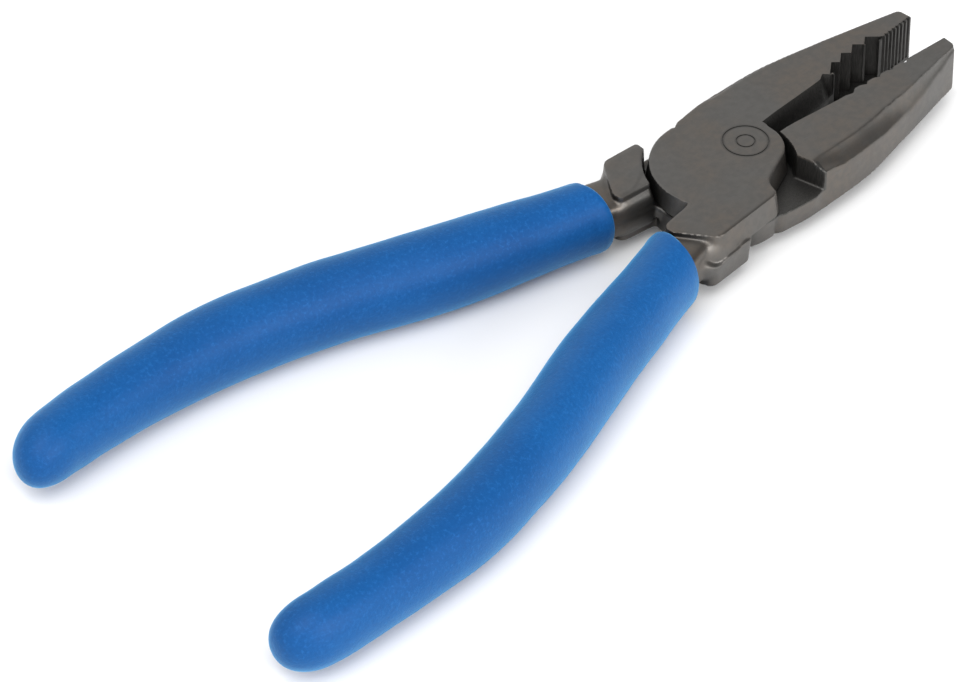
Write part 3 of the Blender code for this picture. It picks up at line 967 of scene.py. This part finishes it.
def lever_mesh(settings, name, corner, stamped, forged, ground):
    """One forging in the closed position: the skin of its field, its cuts and its tang."""
    cell = settings.skin_detail / MM
    origin = np.array(FIELD_LOW)
    counts = np.ceil((np.array(FIELD_HIGH) - origin) / cell).astype(int) + 1
    axes = [origin[k] + cell * np.arange(counts[k]) for k in range(3)]
    field = forging_field(*axes, settings.draft, settings.edge_radius / MM, corner)
    points, faces = skin_of(field, origin, cell)
    mesh = bpy.data.meshes.new(name)
    mesh.from_pydata((points * MM).tolist(), [], faces.tolist())
    two_tone(mesh, forged, ground, 0)
    outward(mesh)
    mesh.polygons.foreach_set("material_index", ground_faces(points, faces))
    arch = [[(x, y, z) for x, y in PIPE_ARCH] for z in (PIPE_FLOOR, HEAD_THICKNESS + 1)]
    tools = [
        cutter_bevel(FRONT_BEVEL, HEAD_THICKNESS, 1),
        cutter_bevel(BACK_BEVEL, 0, -1),
        loft("arch", arch),
    ]
    row = tooth_row_tree(ground)
    empty = bpy.data.meshes.new("tooth_base")
    for teeth in (PIPE_TEETH, PIPE_MARKS, FINE_TEETH):
        sizes = {key: v if key in TOOTH_NUMBERS else v * MM for key, v in teeth.items()}
        tools.append(grown("teeth", empty, row, sizes))
    tools.append(turned_pin("bore", BORE_RADIUS, -1, HEAD_THICKNESS - SKIN, 0))
    tools = [two_tone(tool, forged, ground, 1) for tool in tools]
    if stamped:
        tools += [two_tone(ring_groove(radius), forged, ground, 0) for radius in RING_RADII]
    mesh = cut(mesh, tools)
    tang = bar_tree("tang", forged)
    stations = []
    for x in np.linspace(TANG_START, TANG_END, 40):
        half_width = float(along(TANG_HALF_WIDTHS, x)) - 0.02
        stations.append((x, float(handle_line(x)[0]), half_width))
    bar = grown("tang", line_mesh("tang_line", stations), tang, {
        "Sides": 32, "Height Ratio": 1.12, "Squareness": 4.0, "Slant": 0.0,
    })
    outward(bar)
    mesh = joined(name, [mesh, bar])
    shade(mesh, 38)
    return mesh


def into_place(mesh, turned_over):
    """Moves a mesh from the closed position of the front lever to where its lever rests."""
    if turned_over:
        lift = Matrix.Translation((0, 0, HEAD_THICKNESS * MM))
        mesh.transform(lift @ Matrix.Rotation(math.pi, 4, "X"))
        mesh.transform(Matrix.Rotation(math.radians(-REST_HALF_ANGLE), 4, "Z"))
    else:
        mesh.transform(Matrix.Rotation(math.radians(REST_HALF_ANGLE), 4, "Z"))
    mesh.update()


def grip_stations(shape):
    """A grip's middle line and half-widths: a rounded lip, the sweep, then a blunt dome."""
    mouth, end = shape["mouth"], shape["end"]

    def middle(x):
        return float(handle_line(max(x, -131.0))[0] + along(shape["shift"], x))

    def half_width(x):
        return float(along(GRIP_HALF_WIDTHS, x) + along(shape["swell"], x))

    lip = 0.7
    stations = []
    for t in np.linspace(0, 1, 7):
        a = t * math.pi / 2
        x = mouth - lip * (1 - math.cos(a))
        stations.append((x, middle(mouth), half_width(mouth) - lip * (1 - math.sin(a))))
    dome = end + shape["dome"]
    for x in np.linspace(mouth - 1.6, dome, 72):
        stations.append((x, middle(x), half_width(x)))
    # The dome stops just short of a point, so that its last ring stays open for the cap
    for t in np.linspace(0.05, 1, 18):
        a = t * math.pi / 2 * 0.987
        x = dome - shape["dome"] * math.sin(a)
        share = max(math.cos(a), 0.015) ** shape["bluntness"]
        stations.append((x, middle(x), half_width(x) * share))
    return stations


def number(name, description, default, **options):
    return bpy.props.FloatProperty(name=name, description=description, default=default, **options)


def colour_of(name, description, default):
    options = {"name": name, "description": description, "default": default}
    return bpy.props.FloatVectorProperty(subtype="COLOR", size=3, **options)


class PliersSettings(bpy.types.PropertyGroup):
    """Sizes and colours that a user may change."""

    draft: number("Draft", "Slope of the forged walls", math.radians(7.5), subtype="ANGLE")
    edge_radius: number("Edge Radius", "Rounding of the forged edges", 0.16 * MM, unit="LENGTH")
    skin_detail: number("Skin Detail", "Size of the levers' cells", 0.24 * MM, unit="LENGTH")
    steel_colour: colour_of("Steel Colour", "Colour of the blackened steel", (0.128, 0.124, 0.118))
    steel_roughness: number("Steel Roughness", "Roughness of the steel", 0.42, min=0, max=1)
    grip_colour: colour_of("Grip Colour", "Colour of the dipped grips", (0.0035, 0.073, 0.250))
    grip_roughness: number("Grip Roughness", "Roughness of the grips", 0.48, min=0, max=1)
    grip_height_ratio: number("Grip Height", "Height for width", 1.18, min=0.8, max=1.5)
    mouth_slant: number("Mouth Slant", "Slant of the mouths", math.radians(10), subtype="ANGLE")


def settings_of(context):
    return context.scene.pliers


class PLIERS_OT_levers(bpy.types.Operator):
    """Build both forged levers, each with its jaw, joint, shoulder and tang"""

    bl_idname = "pliers.levers"
    bl_label = "Forged Levers"

    def execute(self, context):
        settings = settings_of(context)
        made = finishes(settings)
        front, back = made["front_lever_finish"], made["back_lever_finish"]
        ground = made["ground_finish"]
        first = lever_mesh(settings, "lever_front_forging", FRONT_CORNER, True, front, ground)
        second = lever_mesh(settings, "lever_back_forging", BACK_CORNER, False, back, ground)
        for mesh, node, turned in ((first, "lever_front", False), (second, "lever_back", True)):
            into_place(mesh, turned)
            piece = object_of(node + "_forging", mesh)
            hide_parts(node)
            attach(piece, "back_lever" if turned else "front_lever")
        return {"FINISHED"}


class PLIERS_OT_rivet(bpy.types.Operator):
    """Build the flush rivet that the levers turn on"""

    bl_idname = "pliers.rivet"
    bl_label = "Rivet"

    def execute(self, context):
        made = finishes(settings_of(context))
        low = SKIN + RIVET_END_GAP
        mesh = turned_pin("rivet_turned", RIVET_RADIUS, low, HEAD_THICKNESS - low, 0.05)
        mesh.materials.append(made["rivet_finish"])
        shade(mesh, 30)
        piece = object_of("rivet_turned", mesh)
        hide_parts("pivot_rivet")
        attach(piece, "back_lever")
        return {"FINISHED"}


class PLIERS_OT_grips(bpy.types.Operator):
    """Build both dipped grips along the handles"""

    bl_idname = "pliers.grips"
    bl_label = "Dipped Grips"

    def execute(self, context):
        settings = settings_of(context)
        plastic = finishes(settings)["dipped_finish"]
        tree = bar_tree("dipped grip", plastic)
        for side, shape in GRIPS.items():
            mouth = shape["mouth"]
            stations = grip_stations(shape)
            mesh = grown(f"grip_{side}_dip", line_mesh("grip_line", stations), tree, {
                "Sides": 72, "Height Ratio": settings.grip_height_ratio, "Squareness": 2.05,
                "Mouth": mouth * MM, "Mouth Middle": stations[0][1] * MM,
                "Slant": math.tan(settings.mouth_slant), "Unevenness": 0.35 * MM,
            })
            outward(mesh)
            into_place(mesh, side == "back")
            shade(mesh, 50)
            piece = object_of(mesh.name, mesh)
            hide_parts(f"grip_{side}")
            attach(piece, f"{side}_lever")
        return {"FINISHED"}


def area_light(name, location, target, size, power, colour=(1, 1, 1)):
    data = bpy.data.lights.new(name, "AREA")
    data.shape = "RECTANGLE"
    data.size, data.size_y = size
    data.energy = power
    data.color = colour
    light = bpy.data.objects.new(name, data)
    light.location = location
    light.rotation_euler = (Vector(target) - Vector(location)).to_track_quat("-Z", "Y").to_euler()
    bpy.context.scene.collection.objects.link(light)


def soft_room():
    """A pale room with one dim side, so that the steel has something to mirror."""
    world = bpy.data.worlds.new("soft_room")
    world.use_nodes = True
    graph = Graph(world.node_tree)
    look = graph.node("ShaderNodeTexCoord", None, None, 0)
    toward = graph.vector("DOT_PRODUCT", look, (0.48, -0.62, 0.62), 1)
    light = 1.0 - 0.85 * graph.band(toward, 0.3, 0.9)
    background = world.node_tree.nodes["Background"]
    background.inputs["Color"].default_value = (1, 1, 1, 1)
    graph.tree.links.new(light.socket, background.inputs["Strength"])
    return world


def view_camera():
    """The camera, turned from +Y towards +X, tilted down and rolled."""
    turn, tilt, roll = (math.radians(angle) for angle in CAMERA_ANGLES)
    away = Vector((math.sin(turn), math.cos(turn), 0))
    forward = away * math.cos(tilt) - Vector((0, 0, math.sin(tilt)))
    right = Vector((away.y, -away.x, 0))
    up = right.cross(forward)
    level_right = math.cos(roll) * right + math.sin(roll) * up
    level_up = -math.sin(roll) * right + math.cos(roll) * up
    place = Vector(CAMERA_AIM) - CAMERA_DISTANCE * forward
    data = bpy.data.cameras.new("view")
    data.sensor_width = 36
    data.lens = CAMERA_LENS
    camera = bpy.data.objects.new("view", data)
    camera.matrix_world = Matrix([*zip(level_right, level_up, -forward, place), (0, 0, 0, 1)])
    bpy.context.scene.collection.objects.link(camera)
    return camera


class PLIERS_OT_stage(bpy.types.Operator):
    """Build the pale floor, the soft lights and the camera"""

    bl_idname = "pliers.stage"
    bl_label = "Stage"

    def execute(self, context):
        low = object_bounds()[0]
        floor = object_of("floor", bpy.data.meshes.new("floor"))
        corners = [(x, y, low.z) for x, y in ((-3, -3), (3, -3), (3, 3), (-3, 3))]
        floor.data.from_pydata(corners, [], [(0, 1, 2, 3)])
        pale = bpy.data.materials.new("pale_floor")
        pale.use_nodes = True
        shader = pale.node_tree.nodes["Principled BSDF"]
        shader.inputs["Base Color"].default_value = (0.93, 0.93, 0.93, 1)
        shader.inputs["Roughness"].default_value = 0.9
        shader.inputs["Specular IOR Level"].default_value = 0.0
        floor.data.materials.append(pale)
        floor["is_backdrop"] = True
        context.scene.world = soft_room()
        area_light("overhead_softbox", (-0.55, -0.45, 1.3), (-0.03, 0, 0), (1.2, 1.2), 17)
        area_light("side_softbox", (0.1, -1.4, 0.5), (0, 0, 0), (0.8, 0.8), 16)
        context.scene.view_settings.view_transform = "Standard"
        context.scene.camera = view_camera()
        return {"FINISHED"}


class PLIERS_PT_panel(bpy.types.Panel):
    """The pliers' sizes, colours and build steps"""

    bl_label = "Combination Pliers"
    bl_idname = "PLIERS_PT_panel"
    bl_space_type = "VIEW_3D"
    bl_region_type = "UI"
    bl_category = "Pliers"

    def draw(self, context):
        settings = settings_of(context)
        for name in settings.__annotations__:
            self.layout.prop(settings, name)
        for step in OPERATORS:
            self.layout.operator(step.bl_idname)


OPERATORS = (PLIERS_OT_levers, PLIERS_OT_rivet, PLIERS_OT_grips, PLIERS_OT_stage)
CLASSES = (PliersSettings, *OPERATORS, PLIERS_PT_panel)


def register():
    for made in CLASSES:
        bpy.utils.register_class(made)
    bpy.types.Scene.pliers = bpy.props.PointerProperty(type=PliersSettings)


def unregister():
    del bpy.types.Scene.pliers
    for made in reversed(CLASSES):
        bpy.utils.unregister_class(made)


def main():
    register()
    bpy.ops.pliers.levers()
    bpy.ops.pliers.rivet()
    bpy.ops.pliers.grips()
    bpy.ops.pliers.stage()


if __name__ == "__main__":
    main()
